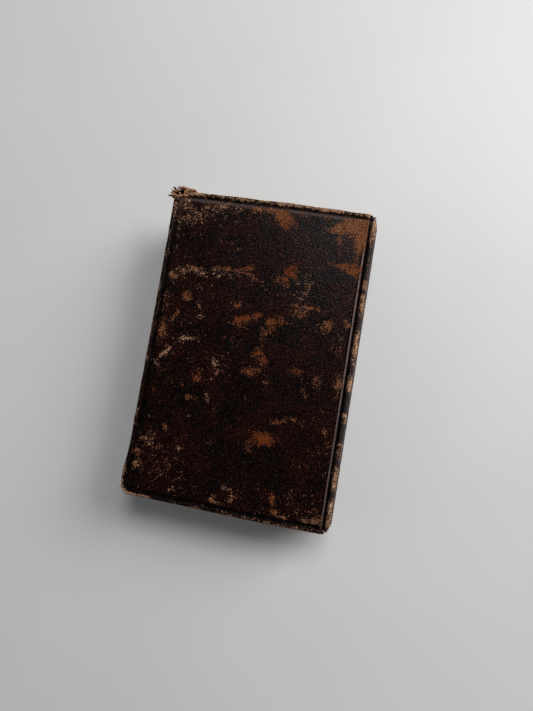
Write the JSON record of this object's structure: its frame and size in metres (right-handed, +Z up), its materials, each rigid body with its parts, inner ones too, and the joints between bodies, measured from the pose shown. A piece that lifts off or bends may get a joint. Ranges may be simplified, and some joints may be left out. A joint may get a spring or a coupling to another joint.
{
  "type": "prayer book",
  "caption": "Small old leather-bound prayer book, closed: worn dark covers with a blind-tooled border, a narrow rounded spine, sewn leaves, endbands and hinged covers.",
  "frame": {"origin": "centre of the bounding box at the underside, where the back cover rests", "axes": "+X to the spine, +Y to the head, +Z up out of the front cover"},
  "size_m": [0.08, 0.118, 0.023],
  "materials": {
    "cover_leather": "worn dark red-brown grained goatskin",
    "board": "grey-brown millboard",
    "leaves": "aged book paper, unpolished edges",
    "endpaper": "plain aged endpaper",
    "linen": "unbleached linen",
    "silk": "faded two-colour silk endband"
  },
  "bodies": {
    "spine": {"spine_leather": "cover_leather", "spine_inlay": "board", "spine_lining": "linen", "sewing_tapes": "linen", "gathering_folds": "leaves", "sewing_thread": "linen", "kettle_stitches": "linen", "head_band": "silk", "tail_band": "silk"},
    "front_cover": {"front_cover_leather": "cover_leather", "front_board": "board", "front_tape_slips": "linen", "front_pastedown": "endpaper"},
    "back_cover": {"back_cover_leather": "cover_leather", "back_board": "board", "back_tape_slips": "linen", "back_pastedown": "endpaper"},
    "front_flyleaf": {"front_flyleaf": "endpaper"},
    "back_flyleaf": {"back_flyleaf": "endpaper"},
    "gathering_01": {"gathering_01": "leaves"},
    "gathering_02": {"gathering_02": "leaves"},
    "gathering_03": {"gathering_03": "leaves"},
    "gathering_04": {"gathering_04": "leaves"},
    "gathering_05": {"gathering_05": "leaves"},
    "gathering_06": {"gathering_06": "leaves"},
    "gathering_07": {"gathering_07": "leaves"},
    "gathering_08": {"gathering_08": "leaves"},
    "gathering_09": {"gathering_09": "leaves"},
    "gathering_10": {"gathering_10": "leaves"},
    "gathering_11": {"gathering_11": "leaves"},
    "gathering_12": {"gathering_12": "leaves"}
  },
  "joints": [
    {"name": "front_cover_hinge", "type": "hinge", "parent": "spine", "child": "front_cover", "pos_m": [0.0366, 0, 0.023], "axis": [0, 1, 0], "range_deg": [0, 175]},
    {"name": "back_cover_hinge", "type": "hinge", "parent": "spine", "child": "back_cover", "pos_m": [0.0366, 0, 0], "axis": [0, -1, 0], "range_deg": [0, 175]},
    {"name": "front_flyleaf_turn", "type": "hinge", "parent": "spine", "child": "front_flyleaf", "pos_m": [0.0366, 0, 0.023], "axis": [0, 1, 0], "range_deg": [0, 170.2]},
    {"name": "back_flyleaf_turn", "type": "hinge", "parent": "spine", "child": "back_flyleaf", "pos_m": [0.0366, 0, 0], "axis": [0, -1, 0], "range_deg": [0, 170.2]},
    {"name": "gathering_01_turn", "type": "hinge", "parent": "spine", "child": "gathering_01", "pos_m": [0.0366, 0, 0.023], "axis": [0, 1, 0], "range_deg": [0, 161.5]},
    {"name": "gathering_02_turn", "type": "hinge", "parent": "spine", "child": "gathering_02", "pos_m": [0.0366, 0, 0.023], "axis": [0, 1, 0], "range_deg": [0, 151]},
    {"name": "gathering_03_turn", "type": "hinge", "parent": "spine", "child": "gathering_03", "pos_m": [0.0366, 0, 0.023], "axis": [0, 1, 0], "range_deg": [0, 138.8]},
    {"name": "gathering_04_turn", "type": "hinge", "parent": "spine", "child": "gathering_04", "pos_m": [0.0366, 0, 0.023], "axis": [0, 1, 0], "range_deg": [0, 123]},
    {"name": "gathering_05_turn", "type": "hinge", "parent": "spine", "child": "gathering_05", "pos_m": [0.0366, 0, 0.023], "axis": [0, 1, 0], "range_deg": [0, 102]},
    {"name": "gathering_06_turn", "type": "hinge", "parent": "spine", "child": "gathering_06", "pos_m": [0.0366, 0, 0.023], "axis": [0, 1, 0], "range_deg": [0, 74]},
    {"name": "gathering_07_turn", "type": "hinge", "parent": "spine", "child": "gathering_07", "pos_m": [0.0366, 0, 0], "axis": [0, -1, 0], "range_deg": [0, 74]},
    {"name": "gathering_08_turn", "type": "hinge", "parent": "spine", "child": "gathering_08", "pos_m": [0.0366, 0, 0], "axis": [0, -1, 0], "range_deg": [0, 102]},
    {"name": "gathering_09_turn", "type": "hinge", "parent": "spine", "child": "gathering_09", "pos_m": [0.0366, 0, 0], "axis": [0, -1, 0], "range_deg": [0, 123]},
    {"name": "gathering_10_turn", "type": "hinge", "parent": "spine", "child": "gathering_10", "pos_m": [0.0366, 0, 0], "axis": [0, -1, 0], "range_deg": [0, 138.8]},
    {"name": "gathering_11_turn", "type": "hinge", "parent": "spine", "child": "gathering_11", "pos_m": [0.0366, 0, 0], "axis": [0, -1, 0], "range_deg": [0, 151]},
    {"name": "gathering_12_turn", "type": "hinge", "parent": "spine", "child": "gathering_12", "pos_m": [0.0366, 0, 0], "axis": [0, -1, 0], "range_deg": [0, 161.5]}
  ],
  "couplings": [
    {"joint": "front_flyleaf_turn", "follows": "front_cover_hinge", "ratio": 0.97},
    {"joint": "back_flyleaf_turn", "follows": "back_cover_hinge", "ratio": 0.97},
    {"joint": "gathering_01_turn", "follows": "front_cover_hinge", "ratio": 0.92},
    {"joint": "gathering_02_turn", "follows": "front_cover_hinge", "ratio": 0.86},
    {"joint": "gathering_03_turn", "follows": "front_cover_hinge", "ratio": 0.79},
    {"joint": "gathering_04_turn", "follows": "front_cover_hinge", "ratio": 0.7},
    {"joint": "gathering_05_turn", "follows": "front_cover_hinge", "ratio": 0.58},
    {"joint": "gathering_06_turn", "follows": "front_cover_hinge", "ratio": 0.42},
    {"joint": "gathering_07_turn", "follows": "back_cover_hinge", "ratio": 0.42},
    {"joint": "gathering_08_turn", "follows": "back_cover_hinge", "ratio": 0.58},
    {"joint": "gathering_09_turn", "follows": "back_cover_hinge", "ratio": 0.7},
    {"joint": "gathering_10_turn", "follows": "back_cover_hinge", "ratio": 0.79},
    {"joint": "gathering_11_turn", "follows": "back_cover_hinge", "ratio": 0.86},
    {"joint": "gathering_12_turn", "follows": "back_cover_hinge", "ratio": 0.92}
  ]
}
